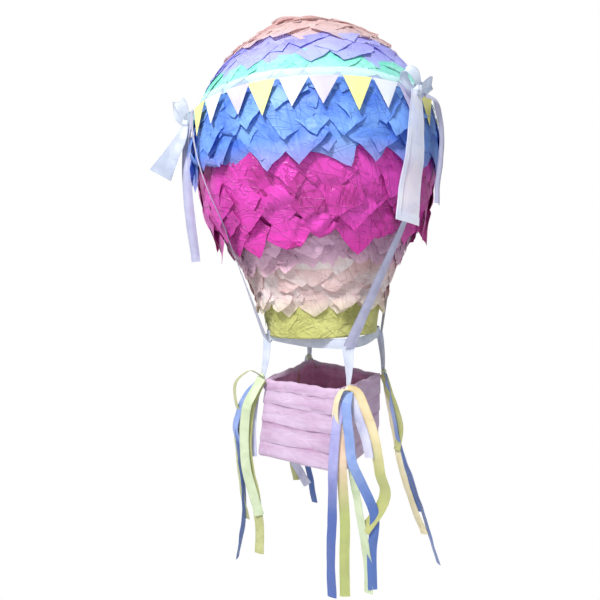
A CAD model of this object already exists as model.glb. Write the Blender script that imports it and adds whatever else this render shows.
"""Looks of the hot-air-balloon pinata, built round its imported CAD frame.

Lengths are millimetres and heights are measured from the middle of the collar until a mesh is
made, which turns them into metres in the row frame. A bearing is in degrees from -Y towards +X.
"""
import math

import bpy
import numpy as np
from mathutils import Matrix, Vector


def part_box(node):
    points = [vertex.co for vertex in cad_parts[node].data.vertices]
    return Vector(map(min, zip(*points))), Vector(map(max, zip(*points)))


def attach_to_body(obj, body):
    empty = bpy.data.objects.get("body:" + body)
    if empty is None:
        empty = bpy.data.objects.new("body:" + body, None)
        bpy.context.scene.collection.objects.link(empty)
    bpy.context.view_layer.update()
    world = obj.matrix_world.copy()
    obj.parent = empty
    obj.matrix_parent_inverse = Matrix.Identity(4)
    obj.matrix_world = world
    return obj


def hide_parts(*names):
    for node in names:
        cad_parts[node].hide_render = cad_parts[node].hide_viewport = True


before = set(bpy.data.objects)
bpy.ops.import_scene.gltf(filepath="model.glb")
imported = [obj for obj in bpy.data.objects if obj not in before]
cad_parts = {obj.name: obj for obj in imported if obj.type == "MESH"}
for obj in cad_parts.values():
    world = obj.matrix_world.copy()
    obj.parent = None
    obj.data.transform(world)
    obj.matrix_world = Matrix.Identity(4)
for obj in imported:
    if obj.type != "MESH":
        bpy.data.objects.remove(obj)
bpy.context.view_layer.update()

# ---------------------------------------------------------------- levels from the frame
MM = 0.001


def node_low(node):
    """Lowest corner of a CAD node in millimetres."""
    return np.array(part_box(node)[0]) / MM


def node_high(node):
    """Highest corner of a CAD node in millimetres."""
    return np.array(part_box(node)[1]) / MM


def node_middle(node):
    """Middle of a CAD node's box in millimetres."""
    return (node_low(node) + node_high(node)) / 2


COLLAR_Z = node_middle("collar_ribbon")[2]
COLLAR_HALF = (node_high("collar_ribbon")[0] - node_low("collar_ribbon")[0]) / 2
RIM = node_high("basket_box")[2] - COLLAR_Z
FLOOR = node_low("basket_box")[2] - COLLAR_Z
BASKET_HALF = (node_high("basket_box")[0] - node_low("basket_box")[0]) / 2
KNOT = node_middle("basket_knot_front_right")
KNOT_REACH = KNOT[0]
KNOT_HEIGHT = KNOT[2] - COLLAR_Z
TOP_KNOT_HEIGHT = node_middle("collar_knot_front_right")[2] - COLLAR_Z

CORNERS = {"front_left": (-1, -1), "front_right": (1, -1), "back_right": (1, 1), "back_left": (-1, 1)}

# ---------------------------------------------------------------- directions
VIEW_BEARING = 30.1
turn = math.radians(VIEW_BEARING)
RIGHT = np.array([math.cos(turn), math.sin(turn), 0.0])
NEAR = np.array([math.sin(turn), -math.cos(turn), 0.0])
UP = np.array([0.0, 0.0, 1.0])


def around(radius, bearing, height):
    """Points at radii, bearings and heights."""
    angle = np.radians(bearing)
    return np.stack(np.broadcast_arrays(radius * np.sin(angle), -radius * np.cos(angle), height), -1)


def seen(right, near, height):
    """A point given across the view, towards the viewer and up."""
    return RIGHT * right + NEAR * near + UP * height


# ---------------------------------------------------------------- balloon surface
# Outline of the tissue surface: radius against height over the collar.
OUTLINE = [
    (0.0, 378.0),
    (44.0, 373.0),
    (84.0, 351.0),
    (116.0, 318.0),
    (138.0, 281.0),
    (148.0, 243.0),
    (145.5, 203.0),
    (135.5, 163.0),
    (117.0, 126.0),
    (94.0, 90.0),
    (78.0, 55.0),
    (70.0, 25.0),
    (67.5, 8.0),
]


def smooth_path(points, step):
    """Points along a Catmull-Rom curve through the given ones, about one step apart."""
    points = np.asarray(points, float)
    padded = np.vstack([2 * points[0] - points[1], points, 2 * points[-1] - points[-2]])
    found = []
    for k in range(len(points) - 1):
        a, b, c, d = padded[k : k + 4]
        count = max(2, math.ceil(np.linalg.norm(c[:3] - b[:3]) / step))
        t = np.linspace(0, 1, count, endpoint=False)[:, None]
        found.append(
            0.5 * (2 * b + (c - a) * t + (2 * a - 5 * b + 4 * c - d) * t**2 + (3 * b - a - 3 * c + d) * t**3)
        )
    return np.vstack(found + [points[-1:]])


crown_side = (-OUTLINE[1][0], OUTLINE[1][1])
skin_line = smooth_path([crown_side] + OUTLINE, 2.0)
skin_line = skin_line[skin_line[:, 0] >= -0.01]
SKIN_R = skin_line[:, 0]
SKIN_H = skin_line[:, 1]
SKIN_S = np.concatenate([[0], np.cumsum(np.hypot(np.diff(SKIN_R), np.diff(SKIN_H)))])
SKIN_OUT = np.stack([-np.gradient(SKIN_H, SKIN_S), np.gradient(SKIN_R, SKIN_S)])
NECK_S = SKIN_S[-1]


def down_skin(height):
    """Distance from the crown down the surface to a height."""
    return float(np.interp(-height, -SKIN_H, SKIN_S))


def on_skin(distance, bearing, lift):
    """Points lifted off the surface, at distances from the crown and at bearings."""
    beyond = np.maximum(distance - NECK_S, 0)
    radius = np.interp(distance, SKIN_S, SKIN_R) + lift * np.interp(distance, SKIN_S, SKIN_OUT[0])
    height = np.interp(distance, SKIN_S, SKIN_H) + lift * np.interp(distance, SKIN_S, SKIN_OUT[1])
    return around(radius, bearing, height - beyond)


# ---------------------------------------------------------------- mesh making
def grid_faces(rows, columns, start=0, closed=False):
    """Quads of a grid of vertices, whose last column may join its first."""
    index = np.arange(rows * columns).reshape(rows, columns) + start
    beside = np.roll(index, -1, 1) if closed else index[:, 1:]
    here = index if closed else index[:, :-1]
    quads = np.stack([here[:-1], beside[:-1], beside[1:], here[1:]], -1)
    return quads.reshape(-1, 4)


def keep_border_crisp(mesh):
    """Mark the border of every sheet sharp, so that its cut edge isn't shaded round."""
    used = np.zeros(len(mesh.loops), np.int32)
    mesh.loops.foreach_get("edge_index", used)
    border = np.bincount(used, minlength=len(mesh.edges)) == 1
    sharp = mesh.attributes.new("sharp_edge", "BOOLEAN", "EDGE")
    sharp.data.foreach_set("value", border)


class Mesh:
    """Points, faces and painted values gathered for one piece."""

    def __init__(self):
        self.points = []
        self.faces = []
        self.paint = {}
        self.count = 0

    def add_grid(self, grid, closed=False, **paint):
        """Add a grid of points; each painted value is one number or one for each point."""
        rows, columns = grid.shape[:2]
        self.faces.append(grid_faces(rows, columns, self.count, closed))
        self.points.append(grid.reshape(-1, 3))
        for name, value in paint.items():
            values = np.broadcast_to(np.asarray(value, float), (rows, columns)).reshape(-1)
            self.paint.setdefault(name, []).append(values)
        self.count += rows * columns

    def build(self, name, material, thickness=0.0, smooth=True):
        """The Blender object, in metres in the row frame."""
        points = np.vstack(self.points) + UP * COLLAR_Z
        mesh = bpy.data.meshes.new(name)
        mesh.from_pydata((points * MM).tolist(), [], np.vstack(self.faces).tolist())
        for key, values in self.paint.items():
            layer = mesh.attributes.new(key, "FLOAT", "POINT")
            layer.data.foreach_set("value", np.concatenate(values).astype(np.float32))
        mesh.materials.append(material)
        mesh.polygons.foreach_set("use_smooth", [smooth] * len(mesh.polygons))
        keep_border_crisp(mesh)
        piece = bpy.data.objects.new(name, mesh)
        bpy.context.scene.collection.objects.link(piece)
        if thickness:
            shell = piece.modifiers.new("paper", "SOLIDIFY")
            shell.thickness = thickness * MM
            shell.offset = 0.0
        return piece


def attach(piece, body, slot, *nodes):
    """Let a piece ride on a body, take a slot's finish and stand for CAD nodes."""
    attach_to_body(piece, body)
    if nodes:
        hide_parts(*nodes)


# ---------------------------------------------------------------- material making
def screen(red, green, blue):
    """The shader colour of a screen colour with parts from 0 to 255."""
    parts = []
    for part in (red, green, blue):
        share = part / 255
        parts.append(share / 12.92 if share <= 0.04045 else ((share + 0.055) / 1.055) ** 2.4)
    return (*parts, 1.0)


class Shader:
    """A new material and short ways to add nodes to it."""

    def __init__(self, name, roughness=0.7, sheen=0.0):
        self.material = bpy.data.materials.new(name)
        self.material.use_nodes = True
        self.tree = self.material.node_tree
        self.surface = self.tree.nodes["Principled BSDF"]
        self.output = self.tree.nodes["Material Output"]
        self.surface.inputs["Roughness"].default_value = roughness
        self.surface.inputs["Sheen Weight"].default_value = sheen
        self.place = self.tree.nodes.new("ShaderNodeTexCoord").outputs["Object"]

    def node(self, kind, **inputs):
        """A node with its inputs set to values or joined to outputs."""
        made = self.tree.nodes.new(kind)
        for key, value in inputs.items():
            self.give(made.inputs[key.replace("_", " ")], value)
        return made

    def give(self, socket, value):
        """Join an output to a socket, or set the socket's value."""
        if isinstance(value, bpy.types.NodeSocket):
            self.tree.links.new(value, socket)
        else:
            socket.default_value = value

    def painted(self, name):
        """The value painted on the mesh under a name."""
        made = self.tree.nodes.new("ShaderNodeAttribute")
        made.attribute_name = name
        return made.outputs["Fac"]

    def stretched(self, x, y, z):
        """Object coordinates scaled along each axis."""
        made = self.node("ShaderNodeMapping", Vector=self.place)
        made.inputs["Scale"].default_value = (x, y, z)
        return made.outputs["Vector"]

    def noise(self, scale, detail=3.0, distortion=0.0, place=None):
        """Fractal noise from 0 to 1."""
        made = self.node(
            "ShaderNodeTexNoise", Scale=scale, Detail=detail, Distortion=distortion, Roughness=0.55
        )
        self.give(made.inputs["Vector"], place or self.place)
        return made.outputs["Fac"]

    def creases(self, scale, place=None):
        """Distance to the edges of warped cells, low along a crease."""
        place = place or self.place
        warp = self.node("ShaderNodeTexNoise", Vector=place, Scale=scale * 0.7, Detail=2.0)
        moved = self.node("ShaderNodeVectorMath")
        moved.operation = "MULTIPLY_ADD"
        self.give(moved.inputs[0], warp.outputs["Color"])
        moved.inputs[1].default_value = [0.9 / scale] * 3
        self.give(moved.inputs[2], place)
        cells = self.node("ShaderNodeTexVoronoi", Vector=moved.outputs["Vector"], Scale=scale)
        cells.feature = "DISTANCE_TO_EDGE"
        return cells.outputs["Distance"]

    def sheet_place(self):
        """Where a point lies on its own sheet of paper, in millimetres."""
        return self.node("ShaderNodeCombineXYZ", X=self.painted("u"), Y=self.painted("v")).outputs["Vector"]

    def streaks(self, angle, length, width, place, detail=2.0):
        """Noise drawn out into straight streaks of a length and width on the sheet."""
        made = self.node("ShaderNodeMapping", Vector=place)
        made.vector_type = "TEXTURE"
        made.inputs["Rotation"].default_value = (0.0, 0.0, math.radians(angle))
        made.inputs["Scale"].default_value = (length, width, 1.0)
        return self.noise(1.0, detail, 0.7, place=made.outputs["Vector"])

    def ridge(self, value, width):
        """1 along the middle value of a noise, falling to 0 on either side."""
        off = self.number("ABSOLUTE", self.number("SUBTRACT", value, 0.5), 0.0)
        return self.spread(off, 0.0, width, 1.0, 0.0)

    def number(self, operation, first, second, clamp=False):
        """A sum done on two numbers or outputs."""
        made = self.tree.nodes.new("ShaderNodeMath")
        made.operation = operation
        made.use_clamp = clamp
        self.give(made.inputs[0], first)
        self.give(made.inputs[1], second)
        return made.outputs["Value"]

    def spread(self, value, low, high, to_low=0.0, to_high=1.0):
        """A value moved from one range to another and held inside it."""
        made = self.node("ShaderNodeMapRange", Value=value)
        for socket, number in zip(list(made.inputs)[1:5], (low, high, to_low, to_high)):
            socket.default_value = number
        return made.outputs["Result"]

    def blend(self, share, first, second):
        """A colour between two others."""
        made = self.tree.nodes.new("ShaderNodeMix")
        made.data_type = "RGBA"
        self.give(made.inputs["Factor"], share)
        self.give(made.inputs[6], first)
        self.give(made.inputs[7], second)
        return made.outputs[2]

    def bump(self, height, distance, normal=None):
        """A bumped normal; distance is in millimetres."""
        made = self.node("ShaderNodeBump", Height=height, Distance=distance * MM, Strength=1.0)
        if normal is not None:
            self.give(made.inputs["Normal"], normal)
        return made.outputs["Normal"]

    def finish(self, colour, normal=None, through=0.0):
        """Join the colour and normal, and let a share of light through thin paper or cloth."""
        self.give(self.surface.inputs["Base Color"], colour)
        if normal is not None:
            self.give(self.surface.inputs["Normal"], normal)
        if through:
            lit = self.tree.nodes.new("ShaderNodeBsdfTranslucent")
            self.give(lit.inputs["Color"], colour)
            if normal is not None:
                self.give(lit.inputs["Normal"], normal)
            mix = self.tree.nodes.new("ShaderNodeMixShader")
            mix.inputs[0].default_value = through
            self.tree.links.new(self.surface.outputs[0], mix.inputs[1])
            self.tree.links.new(lit.outputs[0], mix.inputs[2])
            self.tree.links.new(mix.outputs[0], self.output.inputs["Surface"])
        return self.material


def tissue_material(name, bright, deep, tip, crumple, roughness, through, depth):
    """Crumpled tissue paper: one tone to each square, straight creases, soft hollows, other tips."""
    shader = Shader(name, roughness, sheen=0.1)
    sheet = shader.sheet_place()
    first = shader.ridge(shader.streaks(24.0, 52.0, 15.0, sheet), 0.035)
    second = shader.ridge(shader.streaks(-38.0, 60.0, 13.0, sheet), 0.03)
    fine = shader.streaks(62.0, 26.0, 3.4, sheet, 3.0)
    cross = shader.streaks(8.0, 20.0, 5.0, sheet, 3.0)
    broad = shader.spread(shader.noise(30.0, 2.0, 0.3), 0.36, 0.66)
    tone = shader.number("MULTIPLY_ADD", shader.painted("tone"), 0.5)
    shader.give(tone.node.inputs[2], shader.number("MULTIPLY", shader.painted("hollow"), depth))
    shade = shader.number("MULTIPLY_ADD", broad, 0.3)
    shader.give(shade.node.inputs[2], tone)
    line = shader.number("MULTIPLY", shader.number("MAXIMUM", first, second), 0.16)
    shade = shader.number("ADD", shade, line)
    shade = shader.number("SUBTRACT", shade, 0.16, clamp=True)
    colour = shader.blend(shade, bright, deep)
    colour = shader.blend(shader.painted("tip"), colour, tip)
    normal = shader.bump(first, 0.35 * crumple)
    normal = shader.bump(second, 0.3 * crumple, normal)
    normal = shader.bump(fine, 0.5 * crumple, normal)
    normal = shader.bump(cross, 0.45 * crumple, normal)
    normal = shader.bump(shader.noise(900.0, 2.0), 0.03, normal)
    return shader.finish(colour, normal, through)


def ribbon_material(name, bright, deep, through=0.18, cover=1.0, end=None):
    """Satin ribbon: lengthwise threads, firmer selvedges and soft creases.

    cover is how opaque it is, and end the colour it runs into half way down."""
    shader = Shader(name, 0.4, sheen=0.4)
    shader.surface.inputs["Alpha"].default_value = cover
    along = shader.painted("along")
    across = shader.painted("across")
    thread = shader.node("ShaderNodeCombineXYZ", X=along, Y=across)
    threads = shader.node("ShaderNodeMapping", Vector=thread.outputs["Vector"])
    threads.inputs["Scale"].default_value = (0.05, 3.2, 1.0)
    streak = shader.noise(1.0, 3.0, place=threads.outputs["Vector"])
    picks = shader.node("ShaderNodeMapping", Vector=thread.outputs["Vector"])
    picks.inputs["Scale"].default_value = (2.2, 0.25, 1.0)
    pick = shader.noise(1.0, 2.0, place=picks.outputs["Vector"])
    soft = shader.noise(60.0, 3.0, 0.4)
    edge = shader.spread(shader.painted("edge"), 0.8, 0.95)
    shade = shader.number("MULTIPLY_ADD", shader.spread(soft, 0.35, 0.7), 0.6)
    shader.give(shade.node.inputs[2], shader.spread(streak, 0.4, 0.75, 0.0, 0.3))
    shade.node.use_clamp = True
    colour = shader.blend(shade, bright, deep)
    colour = shader.blend(shader.number("MULTIPLY", edge, 0.35), colour, deep)
    if end:
        later = shader.spread(shader.painted("run"), 0.3, 0.6)
        end_deep = (end[0] * 0.6, end[1] * 0.6, end[2] * 0.6, 1)
        darker = shader.blend(shader.number("MULTIPLY", shade, 0.35), end, end_deep)
        colour = shader.blend(later, colour, darker)
    normal = shader.bump(soft, 0.8)
    normal = shader.bump(streak, 0.12, normal)
    normal = shader.bump(pick, 0.06, normal)
    normal = shader.bump(edge, 0.25, normal)
    return shader.finish(colour, normal, through)


def paper_material(name, bright, deep, roughness=0.75, grain=0.08, through=0.08):
    """Plain coloured paper or card with fibres and slight mottling."""
    shader = Shader(name, roughness)
    mottle = shader.spread(shader.noise(55.0, 5.0), 0.3, 0.75)
    colour = shader.blend(mottle, bright, deep)
    normal = shader.bump(shader.noise(700.0, 4.0), grain)
    normal = shader.bump(shader.noise(90.0, 3.0), grain * 5, normal)
    return shader.finish(colour, normal, through)


def crepe_material(name, bright, deep, through=0.1):
    """Crepe paper: fine upright ribs, long soft wrinkles and lap shadows."""
    shader = Shader(name, 0.68, sheen=0.3)
    ribs = shader.noise(1.0, 2.0, place=shader.stretched(1500.0, 1500.0, 90.0))
    folds = shader.noise(1.0, 3.0, 0.5, place=shader.stretched(26.0, 26.0, 120.0))
    broad = shader.noise(24.0, 3.0)
    shade = shader.number("MULTIPLY_ADD", shader.spread(folds, 0.35, 0.75), 0.5)
    shader.give(shade.node.inputs[2], shader.spread(broad, 0.4, 0.8, 0.0, 0.4))
    shade = shader.number("ADD", shade, shader.painted("shade"), clamp=True)
    colour = shader.blend(shade, bright, deep)
    normal = shader.bump(folds, 1.3)
    normal = shader.bump(shader.spread(shader.creases(60.0), 0.0, 0.2), 0.35, normal)
    normal = shader.bump(ribs, 0.14, normal)
    return shader.finish(colour, normal, through)


def organza_material():
    """Sheer ribbon: an open weave that shows a share of what is under it."""
    shader = Shader("organza", 0.5, sheen=0.4)
    shader.surface.inputs["Alpha"].default_value = 0.26
    mesh_lines = shader.noise(1.0, 1.0, place=shader.stretched(500.0, 500.0, 1600.0))
    colour = shader.blend(mesh_lines, screen(236, 246, 248), screen(210, 230, 240))
    return shader.finish(colour, shader.bump(shader.noise(80.0, 3.0), 0.8))


def twine_material():
    """Twisted jute."""
    shader = Shader("twine", 0.85)
    turns = shader.node("ShaderNodeTexWave", Vector=shader.place, Scale=260.0, Distortion=2.0, Detail=2.0)
    turns.bands_direction = "DIAGONAL"
    colour = shader.blend(turns.outputs["Fac"], screen(196, 168, 128), screen(128, 98, 66))
    normal = shader.bump(turns.outputs["Fac"], 0.4)
    normal = shader.bump(shader.noise(1500.0, 2.0), 0.12, normal)
    return shader.finish(colour, normal)


def wood_material():
    """Bare birch dowel with grain along X."""
    shader = Shader("dowel_wood", 0.6)
    grain = shader.noise(1.0, 4.0, 0.3, place=shader.stretched(30.0, 900.0, 900.0))
    colour = shader.blend(grain, screen(224, 194, 150), screen(176, 136, 92))
    return shader.finish(colour, shader.bump(grain, 0.1))


def papier_mache_material():
    """Pasted newsprint: overlapping strips, grey flecks and dried wrinkles."""
    shader = Shader("papier_mache", 0.85)
    patches = shader.node("ShaderNodeTexVoronoi", Vector=shader.place, Scale=34.0)
    flecks = shader.spread(shader.noise(420.0, 3.0), 0.58, 0.72)
    tone = shader.node("ShaderNodeSeparateColor", Color=patches.outputs["Color"])
    colour = shader.blend(tone.outputs[0], screen(222, 214, 196), screen(196, 186, 166))
    colour = shader.blend(shader.number("MULTIPLY", flecks, 0.3), colour, screen(120, 118, 114))
    normal = shader.bump(shader.noise(70.0, 5.0), 0.9)
    normal = shader.bump(shader.creases(34.0), 0.4, normal)
    return shader.finish(colour, normal)


# Tissue: colour where light, where deep and at the band's lowest tips, then crumple, roughness,
# share of light let through and depth of the hollows.
TISSUES = {
    "peach": ((246, 230, 228), (232, 206, 206), (240, 224, 228), 0.8, 0.6, 0.6, 0.3),
    "lavender": ((196, 198, 252), (148, 144, 234), (188, 202, 248), 0.9, 0.6, 0.4, 0.4),
    "mint": ((196, 250, 244), (112, 230, 208), (198, 244, 248), 0.9, 0.6, 0.4, 0.4),
    "blue": ((142, 194, 255), (56, 110, 228), (172, 166, 236), 0.9, 0.5, 0.34, 0.35),
    "magenta": ((248, 80, 212), (140, 4, 92), (222, 48, 172), 1.4, 0.34, 0.16, 0.3),
    "light_pink": ((255, 218, 246), (164, 92, 144), (252, 220, 232), 1.0, 0.5, 0.36, 0.4),
    "cream": ((255, 248, 248), (238, 198, 196), (255, 248, 220), 0.9, 0.5, 0.45, 0.3),
    "lime": ((234, 234, 150), (158, 162, 66), (222, 226, 140), 1.5, 0.5, 0.28, 0.4),
}

# Ribbon: colour where light and where deep, and what differs from plain satin.
RIBBONS = {
    "satin_sheer": ((252, 254, 255), (236, 240, 255), dict(cover=0.96, through=0.5)),
    "satin_lilac": ((196, 197, 224), (160, 160, 194), dict()),
    "satin_pearl": ((224, 230, 244), (182, 192, 218), dict()),
    "satin_sky": ((184, 193, 212), (158, 169, 192), dict()),
    "bow_lit": ((208, 215, 228), (172, 182, 202), dict(cover=0.98)),
    "bow_sheer": ((232, 239, 250), (204, 215, 236), dict(cover=0.93, through=0.3)),
    "streamer_sky": ((164, 188, 240), (104, 136, 208), dict()),
    "streamer_sky_blue": ((170, 194, 244), (112, 144, 216), dict(end=screen(88, 122, 196))),
    "streamer_lilac": ((230, 230, 250), (186, 188, 228), dict()),
    "streamer_lilac_blue": ((196, 194, 240), (150, 150, 214), dict(end=screen(86, 112, 186))),
    "streamer_lime": ((210, 213, 154), (174, 179, 108), dict()),
    "streamer_pale": ((226, 238, 206), (190, 208, 164), dict()),
    "streamer_cream": ((252, 244, 212), (236, 222, 170), dict()),
    "streamer_cream_lime": ((250, 236, 194), (234, 208, 152), dict(end=screen(196, 200, 130))),
    "streamer_peach_lime": ((250, 226, 204), (232, 196, 164), dict(end=screen(194, 204, 126))),
}

MATERIALS = {
    "organza": organza_material(),
    "pennant_yellow": paper_material("pennant_yellow", screen(246, 244, 166), screen(242, 238, 138)),
    "pennant_white": paper_material("pennant_white", screen(224, 230, 238), screen(212, 218, 232)),
    "pennant_lilac": paper_material("pennant_lilac", screen(204, 202, 230), screen(190, 184, 220)),
    "crepe_pink": crepe_material("crepe_pink", screen(220, 198, 225), screen(180, 134, 176)),
    "lining_mauve": crepe_material("lining_mauve", screen(255, 214, 250), screen(214, 116, 176), 0.35),
    "card": paper_material("card", screen(196, 164, 124), screen(160, 128, 92), 0.85, 0.15, 0.0),
    "twine": twine_material(),
    "dowel_wood": wood_material(),
    "papier_mache": papier_mache_material(),
}
for tint, (bright, deep, tip, *finish) in TISSUES.items():
    slot = "tissue_" + tint
    MATERIALS[slot] = tissue_material(slot, screen(*bright), screen(*deep), screen(*tip), *finish)
for satin, (bright, deep, options) in RIBBONS.items():
    MATERIALS[satin] = ribbon_material(satin, screen(*bright), screen(*deep), **options)


# ---------------------------------------------------------------- tissue squares
SQUARE_STEPS = 14
WRAP_LIFT = -1.7
CROWN_WRAP_TOP = 1.5
CROWN_WRAP_LIFT = 0.3
CROWN_ROW_GAP = 15.0
NEAREST_CROWN_TIP = 22
POLE_ZONE = 90.0
TIP_ZONE = 26.0

# Bands from the crown down. Tips of the lowest row hang to "foot"; rows go up from there. Slope is
# how fast a square leaves the surface, fold and crumple how strongly it is creased, rounding how
# round its corners are cut, pitch and gap how far apart squares and rows are, last how much
# bigger the squares of the lowest row are and base how far a glued edge lies off the surface.
BAND_WORDS = (
    "name", "foot", "gap", "pitch", "edge", "slope", "fold", "crumple", "rounding", "last", "base"
)
BAND_ROWS = [
    ("peach", 314, 11, 30, 38, 0.035, 0.06, 1.5, 0.35, 1.0, 0.9),
    ("lavender", 283, 12, 33, 41, 0.03, 0.04, 1.5, 0.25, 1.05, 0.4),
    ("mint", 258, 12, 34, 42, 0.035, 0.05, 1.5, 0.25, 1.0, -0.1),
    ("blue", 182, 13, 28, 34, 0.09, 0.2, 1.2, 0.0, 1.2, -0.6),
    ("magenta", 108, 14.5, 31, 37, 0.21, 0.55, 2.4, 0.0, 1.05, -0.9),
    ("light_pink", 79, 8.5, 20, 24, 0.15, 0.26, 1.3, 0.3, 1.15, -1.1),
    ("cream", 27, 9, 25, 29, 0.14, 0.22, 1.3, 0.42, 1.3, -1.35),
]
BANDS = [dict(zip(BAND_WORDS, row)) for row in BAND_ROWS]
LEVEL_WRINKLES_OVER = 250

# Squares of the crown that stand off it: bearing, distance of the tip from the crown and slope.
CROWN_FLICKS = [
    (4.0, 76.0, 0.1),
    (-5.0, 72.0, 0.2),
    (-14.0, 78.0, 0.12),
    (-50.0, 114.0, 0.09),
    (60.0, 86.0, 0.08),
    (98.0, 112.0, 0.09),
    (170.0, 70.0, 0.12),
    (250.0, 90.0, 0.1),
]
LIME_TOP = 46


def tissue_square(rng, bearing, tip, band, size, slope, calm=1.0):
    """One glued square with a corner down: its points, how far each hangs (0 to 1) and its paint."""
    steps = np.linspace(-0.5, 0.5, SQUARE_STEPS)
    a, b = np.meshgrid(steps, steps)
    rounding = band["rounding"]
    a, b = a * np.sqrt(1 - 2 * rounding * b**2), b * np.sqrt(1 - 2 * rounding * a**2)
    edge = size * rng.uniform(0.86, 1.14)
    tilt = math.radians(45 + rng.normal(0, 12))
    across = edge * (a * math.cos(tilt) - b * math.sin(tilt))
    down = edge * (a * math.sin(tilt) + b * math.cos(tilt))
    half = edge / math.sqrt(2)
    sway = rng.uniform(0, 2 * math.pi, 4)
    across = across + 0.024 * edge * np.sin(7 * b + sway[0]) + 0.01 * edge * np.sin(15 * a + sway[1])
    down = down + 0.024 * edge * np.sin(7 * a + sway[2]) + 0.01 * edge * np.sin(15 * b + sway[3])
    hang = np.clip((down + half) / (2 * half), 0, 1)
    lift = slope * (down + half) + (0.03 + rng.normal(0, 0.02)) * across * hang
    for _ in range(4):
        way = rng.uniform(0, math.pi)
        side = across * math.cos(way) + down * math.sin(way) - rng.uniform(-0.35, 0.35) * edge
        lift += hang**2 * rng.normal(0, band["fold"] * calm) * np.maximum(side, 0)
    for _ in range(6):
        way = rng.normal(math.pi / 2, 0.35) if band["foot"] > LEVEL_WRINKLES_OVER else rng.uniform(0, math.pi)
        side = across * math.cos(way) + down * math.sin(way) - rng.uniform(-0.4, 0.4) * edge
        crest = np.maximum(1 - np.abs(side) / (edge * rng.uniform(0.07, 0.15)), 0)
        lift += rng.normal(0, band["crumple"] * calm) * 0.8 * hang * crest
    curl = rng.normal(-0.02, 0.1) * edge * slope / 0.15
    lift += curl * np.clip(hang - 0.6, 0, None) / 0.4
    if rng.uniform() < 0.2:
        fold_line = rng.uniform(0.55, 0.85) * half
        beyond = np.maximum(down + 0.3 * across * rng.normal(0, 1) - fold_line, 0)
        down = down - 1.9 * beyond
        lift += 0.25 * np.minimum(beyond, 3.0)
    most = 0.42 * edge * slope + 6.0 * calm
    lift = np.minimum(lift, most + 0.2 * (lift - most))
    lift = band["base"] + rng.uniform(0, 0.3) + np.maximum(lift, 0.15 + 0.35 * slope * (down + half))
    middle = tip - half
    if middle < POLE_ZONE:
        ahead = middle + down
        distance = np.hypot(ahead, across)
        angle = bearing + np.degrees(np.arctan2(across, ahead))
    else:
        distance = middle + down
        angle = bearing + np.degrees(across / np.interp(distance, SKIN_S, SKIN_R))
    under = np.clip(1 - (lift - band["base"]) / (0.5 * edge * slope + 2.0), 0, 1)
    hollow = np.clip((0.95 - hang) / 0.5, 0, 1) * (0.5 + 0.5 * under)
    corner = rng.uniform(-900, 900, 2)
    paint = dict(u=a * edge + corner[0], v=b * edge + corner[1], hollow=hollow)
    return on_skin(distance, angle, lift), hang, paint


def ragged_sheet(rng, top, foot, lift, crumple, columns=220):
    """A wrap of tissue under or instead of squares, with long wrinkles."""
    rows = max(4, int((foot - top) / 2.5))
    distance = np.linspace(top, foot, rows)[:, None] * np.ones((1, columns))
    bearing = np.linspace(0, 360, columns, endpoint=False)[None, :] * np.ones((rows, 1))
    bump = np.zeros((rows, columns))
    angle = np.radians(bearing)
    for _ in range(26):
        waves = rng.integers(3, 26)
        slant = rng.uniform(-0.09, 0.09)
        phase = rng.uniform(0, 2 * math.pi)
        bump += np.abs(np.sin(angle * waves + distance * slant + phase)) * rng.normal(0, 0.3)
    return on_skin(distance, bearing, lift + crumple * bump)


def make_tissue_band(number, band):
    """A band of overlapping tissue squares, laid from its foot up, over a plain wrap."""
    rng = np.random.default_rng(100 + number)
    mesh = Mesh()
    above = BANDS[number - 1] if number else None
    wrap_top = down_skin(above["foot"] + 20) if above else CROWN_WRAP_TOP
    wrap_lift = WRAP_LIFT if above else CROWN_WRAP_LIFT
    wrap = ragged_sheet(rng, wrap_top, down_skin(band["foot"] + 19), wrap_lift, 0.15)
    mesh.add_grid(wrap, closed=True, tone=0.5, tip=0.0, u=0.0, v=0.0, hollow=0.6)
    ceiling = above["foot"] - 0.3 * band["gap"] if above else 377
    tips = np.arange(band["foot"], ceiling, band["gap"])
    for row, tip_height in enumerate(tips):
        tip = down_skin(tip_height)
        if not above:
            tip = down_skin(band["foot"]) - row * CROWN_ROW_GAP
            if tip < NEAREST_CROWN_TIP:
                break
        size = band["edge"] * (band["last"] if row == 0 else 1.0)
        girth = 2 * math.pi * float(np.interp(tip, SKIN_S, SKIN_R))
        count = max(5, round(girth / (band["pitch"] * (band["last"] if row == 0 else 1.0))))
        slope = band["slope"]
        calm = min(1.0, 0.25 + 0.25 * (len(tips) - 1 - row)) if above else 1.0
        if above and above["slope"] < slope:
            slope = above["slope"] + (slope - above["slope"]) * (calm - 0.25) / 0.75
        for k in range(count):
            bearing = 360 / count * (k + 0.5 * (row % 2) + rng.normal(0, 0.12)) + 17.0 * number
            shift = rng.normal(0, 2.5) + (rng.uniform(-4, 4) if row == 0 else 0)
            points, hang, paint = tissue_square(rng, bearing, tip + shift, band, size, slope, calm)
            below = np.clip((band["foot"] + TIP_ZONE - points[..., 2]) / TIP_ZONE, 0, 1)
            mesh.add_grid(points, tone=rng.uniform(0, 1), tip=below**0.7 * hang, **paint)
    if not above:
        for bearing, tip, slope in CROWN_FLICKS:
            points, hang, paint = tissue_square(rng, bearing, tip, band, 30.0, slope)
            mesh.add_grid(points, tone=0.7, tip=0.3 * hang, **paint)
    name = "tissue_" + band["name"]
    piece = mesh.build(name + "_squares", MATERIALS[name], thickness=0.12)
    attach(piece, "balloon", name, name)


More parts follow.
